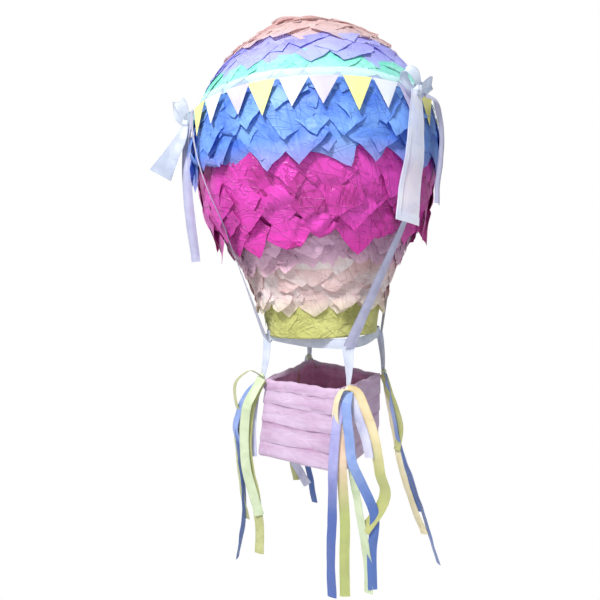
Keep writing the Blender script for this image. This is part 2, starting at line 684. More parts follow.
def make_lime_wrap():
    """Lime tissue wrapped round the neck and turned under, with a few squares on it."""
    rng = np.random.default_rng(190)
    mesh = Mesh()
    top = down_skin(LIME_TOP)
    wrap = ragged_sheet(rng, top, NECK_S - 1.0, -1.1, 0.45, columns=260)
    all_round = np.linspace(0, 360, 260, endpoint=False)[None, :]
    turned = around(np.array([[67.0], [65.2], [63.4]]), all_round, 6.4)
    turned = turned + UP * np.array([0.3, 0.0, 0.8])[:, None, None]
    whole = np.concatenate([wrap, turned])
    round_neck = np.degrees(np.arctan2(whole[..., 0], -whole[..., 1])) * 1.2
    mesh.add_grid(whole, closed=True, tone=0.35, tip=0.0, u=round_neck, v=whole[..., 2], hollow=0.1)
    small = dict(foot=8, rounding=0.1, fold=0.03, crumple=0.35, base=-1.5)
    for k in range(14):
        bearing = 360 / 14 * k + rng.normal(0, 6)
        points, _, paint = tissue_square(rng, bearing, down_skin(rng.uniform(10, 16)), small, 34.0, 0.03)
        mesh.add_grid(points, tone=rng.uniform(0.1, 0.9), tip=0.0, **paint)
    piece = mesh.build("tissue_lime_wrap", MATERIALS["tissue_lime"], thickness=0.12)
    attach(piece, "balloon", "tissue_lime", "tissue_lime")


# ---------------------------------------------------------------- ribbons
RIBBON_STEP = 3.0
RIBBON_COLUMNS = 7
# A declared width under 10 mm is refused, so a narrower ribbon is declared this wide.
NO_PATTERN = dict(along=0.0, run=0.0, across=0.0, edge=0.0)


def ribbon_grid(points, across, width, arch=0.0, ripple=0.0, seed=0, twist=0.0):
    """A grid of points along a ribbon, its painted values and its length.

    across is one direction or one for each point, and so is width. arch bows the section, ripple
    waves the ribbon along its length and twist turns it, in degrees, from start to end."""
    points = np.asarray(points, float)
    across = np.broadcast_to(np.asarray(across, float), points.shape)
    across = across / np.linalg.norm(across, axis=1, keepdims=True)
    width = np.broadcast_to(np.asarray(width, float), len(points))
    route = smooth_path(np.hstack([points, across, width[:, None]]), RIBBON_STEP)
    centre, side, wide = route[:, :3], route[:, 3:6], route[:, 6]
    along = np.gradient(centre, axis=0)
    along /= np.linalg.norm(along, axis=1, keepdims=True)
    side = side - along * np.sum(side * along, 1, keepdims=True)
    side /= np.linalg.norm(side, axis=1, keepdims=True)
    out = np.cross(along, side)
    run = np.concatenate([[0], np.cumsum(np.linalg.norm(np.diff(centre, axis=0), axis=1))])
    if twist:
        turn_by = np.radians(twist) * (run / run[-1])[:, None]
        first, second = np.cos(turn_by), np.sin(turn_by)
        side, out = side * first + out * second, out * first - side * second
    rng = np.random.default_rng(seed)
    share = np.linspace(-1, 1, RIBBON_COLUMNS)
    wave = np.zeros((len(run), RIBBON_COLUMNS))
    for length in (70.0, 38.0, 21.0):
        phase = rng.uniform(0, 6.28)
        skew = rng.uniform(-1.2, 1.2)
        wave += np.sin(run[:, None] * 6.28 / length + phase + skew * share[None, :]) * length / 70.0
    fade = np.clip(run / 12.0, 0, 1)[:, None]
    height = arch * (1 - share[None, :] ** 2) * wide[:, None] / 2 + ripple * wave * fade
    grid = centre[:, None] + side[:, None] * (share[None, :, None] * wide[:, None, None] / 2)
    grid = grid + out[:, None] * height[..., None]
    paint = dict(
        along=run[:, None],
        run=run[:, None] / run[-1],
        across=share[None, :] * wide[:, None] / 2,
        edge=np.abs(share)[None, :],
    )
    return grid, paint, float(run[-1])


def layer_on(mesh, grid, paint, rows, columns, lift):
    """A second layer of the ribbon over some of its rows and columns, for a hem or a folded edge."""
    part = grid[rows, columns]
    along = part[-1, 0] - part[0, 0]
    across = part[0, -1] - part[0, 0]
    out = np.cross(along, across)
    out /= np.linalg.norm(out)
    values = {key: np.broadcast_to(value, grid.shape[:2])[rows, columns] for key, value in paint.items()}
    mesh.add_grid(part + out * lift, **values)


def make_ribbon(
    name, body, material, slot, points, across, width, held, rests_on, nodes=(), hem=0, **shape
):
    """One ribbon piece, its flat size worked out here; hem 1 adds a hem, 2 a folded edge too."""
    mesh = Mesh()
    grid, paint, length = ribbon_grid(points, across, width, **shape)
    mesh.add_grid(grid, **paint)
    if hem:
        layer_on(mesh, grid, paint, slice(-4, None), slice(None), 0.5)
    if hem > 1:
        layer_on(mesh, grid, paint, slice(len(grid) // 3, None), slice(0, 2), 0.8)
    piece = mesh.build(name, MATERIALS[material], thickness=0.3)
    attach(piece, body, slot, *nodes)


GIRDLE_HEIGHT = 268.5
GIRDLE_HALF = 5.5


def make_girdle():
    """Sheer ribbon round the balloon over the tops of the pennants."""
    rng = np.random.default_rng(7)
    columns = 240
    bearing = np.linspace(0, 360, columns, endpoint=False)
    angle = np.radians(bearing)
    drift = sum(np.sin(angle * n + rng.uniform(0, 6.28)) * rng.normal(0, 0.6) for n in (2, 3, 5, 9))
    lift = 5.2 + sum(np.sin(angle * n + rng.uniform(0, 6.28)) * rng.normal(0, 0.18) for n in (7, 15, 30, 41))
    rows = []
    for share in np.linspace(-1, 1, 6):
        height = GIRDLE_HEIGHT + drift + share * GIRDLE_HALF
        distance = np.interp(-height, -SKIN_H, SKIN_S)
        rows.append(on_skin(distance, bearing, lift + 0.3 * math.cos(share * 1.5)))
    mesh = Mesh()
    mesh.add_grid(np.array(rows), closed=True)
    piece = mesh.build("girdle_sheer_ribbon", MATERIALS["organza"], thickness=0.15)
    attach(piece, "balloon", "organza", "girdle_ribbon")


PENNANT_COUNT = 30
FIRST_PENNANT = 11.0
PENNANT_RADIUS = 150.6
PENNANT_WIDTH = 29.5
PENNANT_DROP = 32.0
PENNANT_TOP = 265.5
YELLOW_DROP = 1.09
OTHER_DROP = 0.91


def make_pennants():
    """Three sets of paper pennants, each flag slightly bent and hung a little unevenly."""
    for k, colour in enumerate(("yellow", "white", "lilac")):
        rng = np.random.default_rng(20 + k)
        mesh = Mesh()
        for place in range(k, PENNANT_COUNT, 3):
            bearing = FIRST_PENNANT + 360 / PENNANT_COUNT * place + rng.normal(0, 0.7)
            depth = YELLOW_DROP if colour == "yellow" else OTHER_DROP
            drop = PENNANT_DROP * depth * rng.uniform(0.97, 1.03)
            lean = rng.normal(0, 1.3)
            u, v = np.meshgrid(np.linspace(-1, 1, 9), np.linspace(0, 1, 11))
            across = u * PENNANT_WIDTH / 2 * (1 - v * 0.985) + lean * v
            stand = 0.4 + rng.uniform(2.6, 4.2) * v + rng.uniform(0.3, 1.2) * (1 - u**2) * v * (1 - v)
            facing = np.radians(bearing)
            side = np.array([math.cos(facing), math.sin(facing), 0])
            out = np.array([math.sin(facing), -math.cos(facing), 0])
            grid = side * across[..., None] + out * (PENNANT_RADIUS + stand - 0.0022 * across**2)[..., None]
            mesh.add_grid(grid + UP * (PENNANT_TOP - drop * v)[..., None])
        name = "pennants_" + colour
        piece = mesh.build(name + "_paper", MATERIALS["pennant_" + colour], thickness=0.25)
        attach(piece, "balloon", "pennant_" + colour, name)


# ---------------------------------------------------------------- suspension ribbons
# For each ribbon: bearings and heights down the balloon until it leaves it, and how far it is
# turned edge-on there and at the collar, in degrees.
SUSPENSIONS = {
    "front_left": ([(-33, 262), (-26, 235), (-23, 205), (-19.5, 173), (-17.5, 142)], 40.0, -12.0),
    "front_right": ([(74, 262), (74, 230), (73.5, 190), (73, 160), (72.5, 132)], 8.0, 12.0),
    "back_right": ([(158, 262), (158, 230), (158, 195), (158, 165), (158, 145)], 12.0, 12.0),
    "back_left": ([(228, 262), (227, 230), (226, 195), (226, 165), (226, 145)], 12.0, 12.0),
}

# How far each corner of the collar is pulled across the view, towards the viewer and up.
COLLAR_PULL = {
    "front_left": (2.0, 0.0, 7.0),
    "front_right": (9.0, 0.0, -2.0),
    "back_right": (4.0, 0.0, 2.5),
    "back_left": (-2.0, 0.0, 4.0),
}


def collar_corner(name):
    """Where the collar turns at one corner."""
    x_side, y_side = CORNERS[name]
    reach = COLLAR_HALF - 1.5
    return np.array([x_side * reach, y_side * reach, 0.0]) + seen(*COLLAR_PULL[name])


def make_suspension(name):
    """Ribbon from the girdle down the balloon and straight on to the collar."""
    stations, leave_turn, foot_turn = SUSPENSIONS[name]
    leave_turn = math.radians(leave_turn)
    foot_turn = math.radians(foot_turn)
    corner = collar_corner(name)
    outward = corner * (1, 1, 0) / np.linalg.norm(corner[:2])
    foot_across = np.array([-outward[1], outward[0], 0.0])
    points = []
    across = []
    for k, (bearing, height) in enumerate(stations):
        turn_by = leave_turn * k / 4
        points.append(on_skin(down_skin(height), bearing, 8.5 + 1.1 * k))
        level = around(1.0, bearing + 90, 0.0)
        across.append(level * math.cos(turn_by) + around(1.0, bearing, 0.0) * math.sin(turn_by))
    foot = corner + outward * 1.0 - UP * 2
    foot_across = foot_across * math.cos(foot_turn) + outward * math.sin(foot_turn)
    for share in (0.35, 0.7, 1.0):
        points.append(points[4] + (foot - points[4]) * share)
        across.append(across[4] + (foot_across - across[4]) * share)
    make_ribbon(
        f"suspension_{name}_satin",
        "balloon",
        "satin_lilac",
        "satin_white",
        points,
        across,
        [8.0] * 5 + [10.0, 11.5, 13.0],
        "stretched",
        ["tissue_magenta_squares"],
        nodes=[f"suspension_ribbon_{name}"],
        arch=0.1,
        ripple=0.05,
        seed=30 + len(name),
    )


# ---------------------------------------------------------------- bows
# Each bow: the knot's middle, its sideways and outward directions, and its loops as the tip's
# sideways and upward distance from the knot and the ribbon's width.
BOWS = {
    "front_left": (
        seen(-156, 18, 267), RIGHT, NEAR, [((-9.0, 27.0), 17.0, 0.06), ((11.0, 9.0), 11.0, 0.1)]
    ),
    "front_right": (
        around(159, 71.0, 259), around(1, 161.0, 0), around(1, 71.0, 0),
        [((-17.0, 16.0), 9.5, 0.1), ((23.0, 10.0), 11.0, 0.12)],
    ),
    "back_right": (
        around(160, 158, 263), around(1, 248, 0), around(1, 158, 0),
        [((-27.0, 9.0), 15.0, 0.0), ((27.0, 11.0), 15.0, 0.2)],
    ),
    "back_left": (
        around(160, 228, 263), around(1, 318, 0), around(1, 228, 0),
        [((-28.0, 11.0), 15.0, 0.2), ((26.0, 8.0), 15.0, 0.0)],
    ),
}


def knot_grid(middle, side, out, size, seed):
    """A crumpled ribbon knot: a squashed ball with gathers."""
    rng = np.random.default_rng(seed)
    u, v = np.meshgrid(np.linspace(0, 2 * math.pi, 28, endpoint=False), np.linspace(0.02, math.pi - 0.02, 14))
    gathers = 1 + 0.1 * np.sin(u * 5 + rng.uniform(0, 6)) + 0.07 * np.sin(v * 7 + u * 2 + rng.uniform(0, 6))
    wide, deep, tall = size
    x = np.cos(u) * np.sin(v) * wide * gathers
    y = np.sin(u) * np.sin(v) * deep * gathers
    z = np.cos(v) * tall * gathers
    return middle + side * x[..., None] + out * y[..., None] + UP * z[..., None]


# Stations of a bow's loop: share of its reach, outward distance in millimetres, share across the
# reach and share of the ribbon's width, for a loop pressed flat and for a loop standing open.
FLAT_LOOP = np.array([
    (0.0, 1.5, 0.0, 0.4),
    (0.3, 5.5, 0.05, 0.75),
    (0.7, 6.5, 0.1, 1.0),
    (0.96, 3.5, 0.04, 0.9),
    (1.0, -0.5, -0.02, 0.8),
    (0.74, -3.0, -0.1, 0.95),
    (0.36, -2.5, -0.16, 0.75),
    (0.0, -1.0, 0.0, 0.4),
])
OPEN_LOOP = np.array([
    (0.0, 1.0, 0.0, 0.5),
    (0.3, 2.0, 0.3, 0.8),
    (0.62, 2.0, 0.45, 1.0),
    (0.95, 1.0, 0.28, 1.05),
    (1.02, 0.0, -0.05, 1.05),
    (0.78, -1.0, -0.38, 1.0),
    (0.38, -1.0, -0.32, 0.8),
    (0.0, -1.0, 0.0, 0.45),
])


def bow_loop(middle, side, out, tip, width, opened, seed):
    """A loop of ribbon that leaves the knot, turns over at its tip and comes back to it."""
    reach, rise = tip
    length = math.hypot(reach, rise)
    along = (side * reach + UP * rise) / length
    across = (UP * reach - side * rise) / length * np.sign(reach)
    route = FLAT_LOOP + (OPEN_LOOP - FLAT_LOOP) * opened
    points = [middle + along * u * length + out * v + across * w * length for u, v, w, _ in route]
    facing = across * (1 - 0.7 * opened) + out * (0.4 + 0.5 * opened)
    return ribbon_grid(points, facing, width * route[:, 3], arch=0.05, ripple=0.35, seed=seed)


def make_bow(name):
    """A bow tied in white ribbon: two loops and a knot."""
    middle, side, out, loops = BOWS[name]
    mesh = Mesh()
    for k, (tip, width, opened) in enumerate(loops):
        grid, paint, length = bow_loop(middle, side, out, tip, width, opened, seed=50 + k + len(name))
        mesh.add_grid(grid, **paint)
    knot = knot_grid(middle + out * 1.5, side, out, (5.2, 4.5, 6.0), seed=60 + len(name))
    mesh.add_grid(knot, closed=True, **NO_PATTERN)
    look = MATERIALS["bow_lit" if name == "front_left" else "bow_sheer"]
    piece = mesh.build(f"bow_{name}_satin", look, thickness=0.3)
    attach(piece, "balloon", "satin_white", f"bow_{name}")


# Free tails by cylinder: corner, material, stations of radius, bearing and height, and widths.
TAILS = {
    "tail_front_right_wide": (
        "front_right",
        "satin_sheer",
        [
            (160, 70.4, 258), (161, 69.8, 240), (161, 68.8, 215), (161, 67.5, 190),
            (160, 64.8, 157), (161, 62.4, 124),
        ],
        [15.0, 20.0, 24.0, 27.0, 29.0, 30.0],
    ),
    "tail_front_right_narrow": (
        "front_right",
        "satin_lilac",
        [
            (160, 75, 256), (163, 81, 252), (162, 86, 238), (161, 87, 215), (160, 85.6, 190),
            (160, 82.5, 168), (160, 80.7, 146),
        ],
        [9.0, 10.5, 11.5, 11.5, 11.0, 10.5, 10.0],
    ),
    "tail_back_right_long": (
        "back_right",
        "satin_sheer",
        [(158, 155, 258), (161, 154, 225), (162, 154.5, 180), (162, 154, 132)],
        [10.0, 18.0, 21.0, 22.0],
    ),
    "tail_back_right_short": (
        "back_right",
        "satin_lilac",
        [(158, 161, 258), (161, 164, 230), (162, 165, 190), (162, 164, 152)],
        [9.0, 12.0, 12.0, 12.0],
    ),
    "tail_back_left_long": (
        "back_left",
        "satin_sheer",
        [(158, 225, 258), (161, 224, 225), (162, 224.5, 180), (162, 224, 134)],
        [10.0, 18.0, 21.0, 22.0],
    ),
    "tail_back_left_short": (
        "back_left",
        "satin_lilac",
        [(158, 231, 258), (161, 234, 235), (162, 235, 205), (162, 234, 166)],
        [9.0, 12.0, 12.0, 12.0],
    ),
}

# Tails of the front left bow, which stand clear of the balloon: across the view, near and up.
LEFT_TAILS = {
    "tail_front_left_short": (
        "satin_sky",
        [(-157, 22, 264), (-162, 25, 248), (-173, 27, 228), (-181, 28, 214), (-187, 28, 204)],
        [9.0, 15.0, 22.0, 28.0, 32.0],
        (0.96, 0.2, -0.2),
    ),
    "tail_front_left_long": (
        "satin_lilac",
        [
            (-156, 16, 262), (-157, 17, 240), (-157.5, 18, 205), (-157, 18, 175), (-155, 18, 150),
            (-152.5, 18, 126), (-150, 18, 99),
        ],
        [9.0, 11.5, 12.5, 12.5, 12.5, 12.0, 11.5],
        (0.97, 0.2, 0.0),
    ),
}


def make_tails():
    """The free ends of the four bows."""
    for number, (name, (corner, material, stations, widths)) in enumerate(TAILS.items()):
        wide = number % 2 == 0
        make_ribbon(
            name,
            f"bow_tails_{corner}",
            material,
            "satin_white",
            [around(radius, bearing, height) for radius, bearing, height in stations],
            [around(1.0, bearing + 90, 0.0) for _, bearing, _ in stations],
            widths,
            "hung",
            [f"bow_{corner}_satin"],
            nodes=[f"bow_tails_{corner}"] if wide else [],
            hem=2 if wide else 0,
            arch=0.06 if wide else 0.5,
            ripple=0.3,
            seed=70 + number,
        )
    for number, (name, (material, stations, widths, way)) in enumerate(LEFT_TAILS.items()):
        make_ribbon(
            name,
            "bow_tails_front_left",
            material,
            "satin_white",
            [seen(*station) for station in stations],
            seen(*way),
            widths,
            "hung",
            ["bow_front_left_satin"],
            nodes=[] if number else ["bow_tails_front_left"],
            hem=0 if number else 1,
            arch=0.5 if number else 0.12,
            ripple=0.35,
            seed=80 + number,
        )


# ---------------------------------------------------------------- collar, knots and straps
COLLAR_WIDTH = 11.5


def make_collar():
    """White ribbon hoop under the neck, drawn square by the straps and slack between them."""
    names = list(CORNERS)
    points = []
    across = []
    for k, name in enumerate(names):
        corner = collar_corner(name)
        after = collar_corner(names[(k + 1) % 4])
        outward = corner / np.linalg.norm(corner)
        for share, sag in ((0.06, 0.0), (0.3, -1.8), (0.5, -2.6), (0.7, -1.8), (0.94, 0.0)):
            point = corner + (after - corner) * share
            middle = (corner + after) * (0.5, 0.5, 0)
            swell = 4 * share * (1 - share) * 2.5
            points.append(point + middle / np.linalg.norm(middle) * swell + UP * (sag + 1.5))
            across.append(UP + outward * 0.15)
    points = points + points[:3]
    across = across + across[:3]
    grid, paint, _ = ribbon_grid(points, across, COLLAR_WIDTH, arch=0.1, ripple=0.3, seed=3)
    start = 6
    closing = np.linalg.norm(grid[start:, 3] - grid[start, 3], axis=1)
    stop = start + 20 + int(np.argmin(closing[20:]))
    ring = grid[start:stop]
    mesh = Mesh()
    ring_paint = {key: np.broadcast_to(value, grid.shape[:2])[start:stop].T for key, value in paint.items()}
    mesh.add_grid(np.transpose(ring, (1, 0, 2)), closed=True, **ring_paint)
    piece = mesh.build("collar_satin", MATERIALS["satin_pearl"], thickness=0.35)
    attach(piece, "balloon", "satin_white", "collar_ribbon")


# How far each corner of the basket's rim and foot is pulled across the view and up.
RIM_PULL = {"front_left": (0, 2), "front_right": (-2, -2), "back_right": (1, -4), "back_left": (1, 9)}
FOOT_PULL = {"front_left": (-11, -2), "front_right": (-4, -8), "back_right": (-5, -2), "back_left": (-8, 3)}


def tilted(point):
    """A point of the basket moved with the corners round it, as the box hangs askew."""
    point = np.asarray(point, float)
    x = point[..., 0] / BASKET_HALF
    y = point[..., 1] / BASKET_HALF
    down = (RIM - point[..., 2]) / (RIM - FLOOR)
    moved = point.copy()
    for name, (x_side, y_side) in CORNERS.items():
        near_corner = (1 + x_side * x) * (1 + y_side * y) / 4
        for level, pull in ((1 - down, RIM_PULL), (down, FOOT_PULL)):
            across, up = pull[name]
            moved = moved + (near_corner * level)[..., None] * (RIGHT * across + UP * up)
    return moved


# How far each knot lies across the view and up from where the box's corner would be if it hung true.
KNOT_PULL = {"front_left": (-4, 1), "front_right": (7, -8), "back_right": (6, -6), "back_left": (-1, 9)}


def basket_knot(name):
    """Where the strap is tied to the basket at one corner."""
    x_side, y_side = CORNERS[name]
    across, up = KNOT_PULL[name]
    return np.array([x_side * KNOT_REACH, y_side * KNOT_REACH, KNOT_HEIGHT]) + RIGHT * across + UP * up


def make_small_knots():
    """Knots where each strap is tied to the collar and to the basket."""
    for number, name in enumerate(CORNERS):
        x_side, y_side = CORNERS[name]
        outward = np.array([x_side, y_side, 0.0]) / math.sqrt(2)
        side = np.array([-outward[1], outward[0], 0.0])
        top = collar_corner(name) - outward * 5.0 + UP * (TOP_KNOT_HEIGHT + 5.0)
        mesh = Mesh()
        mesh.add_grid(knot_grid(top, side, outward, (3.4, 2.4, 3.0), 90 + number), closed=True, **NO_PATTERN)
        piece = mesh.build(f"collar_knot_{name}_tied", MATERIALS["satin_pearl"])
        attach(piece, f"collar_knot_{name}", "satin_white", f"collar_knot_{name}")
        foot = basket_knot(name) + outward * 1.0
        mesh = Mesh()
        mesh.add_grid(knot_grid(foot, side, outward, (4.0, 3.2, 4.8), 95 + number), closed=True, **NO_PATTERN)
        body = "basket_knot_front_left" if name == "front_left" else "basket"
        look = "streamer_cream" if name == "front_right" else "streamer_pale"
        piece = mesh.build(f"basket_knot_{name}_tied", MATERIALS[look])
        attach(piece, body, "knot_lime", f"basket_knot_{name}")


# How far a strap is turned from facing the viewer at its head and its foot, in degrees.
STRAP_TURN = {
    "front_left": (10.0, 30.0),
    "front_right": (8.0, 60.0),
    "back_right": (25.0, 50.0),
    "back_left": (20.0, 40.0),
}

# Widths of a strap in millimetres, from its head to its foot.
STRAP_WIDTHS = {
    "front_left": [10.5, 9.5, 8.5, 6.5],
    "front_right": [13.5, 12.0, 9.0, 5.5],
    "back_right": [9.0, 8.5, 7.0, 5.5],
    "back_left": [10.0, 9.0, 8.0, 7.0],
}


def make_strap(name):
    """White ribbon from the collar's corner down to the basket's, gathered at its foot."""
    corner = collar_corner(name)
    top = corner * (0.975, 0.975, 1.0) + UP * 2.0
    foot = basket_knot(name) + UP * 1.0
    head_turn, foot_turn = STRAP_TURN[name]
    points = []
    across = []
    for share in (0.0, 0.3, 0.65, 1.0):
        angle = math.radians(head_turn + (foot_turn - head_turn) * share)
        points.append(top + (foot - top) * share + RIGHT * 6 * share * (1 - share))
        across.append(RIGHT * math.cos(angle) + NEAR * math.sin(angle))
    make_ribbon(
        f"strap_{name}_satin",
        f"strap_{name}",
        "satin_pearl",
        "satin_white",
        points,
        across,
        STRAP_WIDTHS[name],
        "stretched",
        [f"basket_knot_{name}_tied"],
        nodes=[f"strap_{name}"],
        arch=0.15,
        ripple=0.15,
        seed=110,
    )


# ---------------------------------------------------------------- basket
SIDE_STEPS = 26


def square_ring(half, corner):
    """Points round a square with rounded corners."""
    points = []
    for k in range(4):
        turn_by = math.radians(90 * k)
        spin = np.array([[math.cos(turn_by), -math.sin(turn_by)], [math.sin(turn_by), math.cos(turn_by)]])
        straight = half - corner
        flat = np.linspace(-straight, straight, SIDE_STEPS)
        run = np.stack([flat, np.full(SIDE_STEPS, -half)], -1)
        bend = np.radians(np.linspace(0, 90, 5)[1:-1])
        turned = np.stack([straight + corner * np.sin(bend), -straight - corner * np.cos(bend)], -1)
        points.append(np.vstack([run, turned]) @ spin.T)
    return np.vstack(points)


def wavy(rng, ring, heights, sizes):
    """Smooth irregular waves over a ring of points at some heights."""
    around_ring = np.linspace(0, 2 * math.pi, len(ring), endpoint=False)
    total = np.zeros((len(heights), len(ring)))
    for waves, size in sizes:
        total += size * np.sin(
            around_ring[None, :] * waves
            + rng.uniform(0, 6.28)
            + np.asarray(heights)[:, None] * rng.uniform(-0.1, 0.1)
        )
    return total


def wall_grid(rng, half, heights, offsets, sizes, edge_sizes=()):
    """Rings of points at heights, pushed out by offsets and waves."""
    heights = np.asarray(heights, float)
    ring = square_ring(half, 3.0)
    out = ring / np.abs(ring).max(1, keepdims=True)
    out = np.where(np.abs(out) > 0.93, np.sign(out), 0.0)
    out = out / np.maximum(np.linalg.norm(out, axis=1, keepdims=True), 1)
    push = np.asarray(offsets, float)[:, None] + wavy(rng, ring, heights, sizes)
    flat = ring[None] + out[None] * push[..., None]
    rise = heights[:, None] + wavy(rng, ring, heights * 0, edge_sizes)
    return np.concatenate([flat, rise[..., None]], -1)


def make_basket():
    """Card box, lapping crepe rows, folded tissue rim and creased lining."""
    rng = np.random.default_rng(5)
    rows = 4
    pitch = (RIM - FLOOR - 1.0) / rows
    for k in range(rows):
        mesh = Mesh()
        foot = FLOOR + pitch * k
        lap = 0.0 if k == 0 else 3.0
        hem_line = foot - lap
        heights = [hem_line - 0.6, hem_line, hem_line + 0.8, foot + 4, foot + 9, foot + 14, foot + pitch]
        offsets = [0.5, 1.3, 1.7, 1.3, 0.95, 0.7, 0.45]
        if k == 0:
            heights = [FLOOR - 0.6, FLOOR - 0.4, FLOOR + 0.8, foot + 4, foot + 9, foot + 14, foot + pitch]
            offsets = [-8.0, -0.5, 0.9, 1.3, 1.2, 0.9, 0.55]
        slow = [(3, 0.25), (7, 0.3), (13, 0.22), (22, 0.14)]
        hem = [(2, 0.8), (5, 0.7), (9, 0.35)] if k else [(5, 0.15)]
        grid = wall_grid(rng, BASKET_HALF, heights, offsets, slow, hem)
        shade = np.array([0.75, 0.4, 0.05, 0.0, 0.0, 0.1, 0.5])[:, None]
        mesh.add_grid(tilted(grid), closed=True, shade=shade)
        name = f"crepe_strip_{k + 1}"
        piece = mesh.build(name + "_paper", MATERIALS["crepe_pink"], thickness=0.3)
        attach(piece, "basket", "crepe_pink", name)
    make_rim(rng)
    make_lining(rng)
    make_card_box()


def make_rim(rng):
    """Tissue folded over the rim, crumpled along the top."""
    mesh = Mesh()
    heights = [RIM - 9, RIM - 5, RIM - 1, RIM + 1.4, RIM + 1.8, RIM + 1.2, RIM - 0.5, RIM - 2.5]
    offsets = [1.5, 1.8, 1.9, 1.0, -0.6, -2.4, -3.6, -4.2]
    crumple = [(11, 0.3), (19, 0.3), (31, 0.25), (43, 0.2)]
    ragged = [(6, 0.5), (14, 0.45), (27, 0.35)]
    grid = wall_grid(rng, BASKET_HALF, heights, offsets, crumple, ragged)
    mesh.add_grid(tilted(grid), closed=True, shade=0.12)
    piece = mesh.build("rim_fold_paper", MATERIALS["crepe_pink"], thickness=0.25)
    attach(piece, "basket", "crepe_pink", "rim_fold")


def make_lining(rng):
    """Mauve tissue inside the box, creased and gathered at the corners, with a floor."""
    mesh = Mesh()
    inner = BASKET_HALF - 3.2
    heights = np.linspace(RIM - 1.0, FLOOR + 3, 18)
    creases = [(9, 0.5), (17, 0.5), (29, 0.45), (41, 0.4)]
    grid = wall_grid(rng, inner, heights, np.zeros(18), creases)
    deeper = np.clip((RIM - heights) / 30.0, 0, 1)[:, None]
    mesh.add_grid(tilted(grid), closed=True, shade=0.35 * deeper)
    flat = np.linspace(-inner + 1, inner - 1, 26)
    x, y = np.meshgrid(flat, flat)
    bump = np.abs(np.sin(x * 0.13 + y * 0.05)) + 0.7 * np.abs(np.sin(y * 0.17 - x * 0.08 + 1))
    mesh.add_grid(tilted(np.stack([x, y, FLOOR + 3.4 + bump], -1)), shade=0.3)
    piece = mesh.build("basket_lining_tissue", MATERIALS["lining_mauve"], thickness=0.2)
    attach(piece, "basket", "lining_mauve", "basket_lining")


def make_card_box():
    """The card box itself, seen only at its base."""
    mesh = Mesh()
    outer = square_ring(BASKET_HALF - 0.4, 1.2)
    inner = square_ring(BASKET_HALF - 2.2, 0.8)
    rings = []
    for ring, height in (
        (outer * 0.02, FLOOR + 0.1),
        (outer * 0.5, FLOOR + 0.1),
        (outer, FLOOR + 0.1),
        (outer, RIM - 0.2),
        (inner, RIM - 0.2),
        (inner, FLOOR + 2.1),
        (inner * 0.5, FLOOR + 2.1),
        (inner * 0.02, FLOOR + 2.1),
    ):
        rings.append(np.concatenate([ring, np.full((len(ring), 1), height)], -1))
    mesh.add_grid(tilted(np.array(rings)), closed=True)
    piece = mesh.build("basket_box_card", MATERIALS["card"], smooth=False)
    attach(piece, "basket", "card", "basket_box")


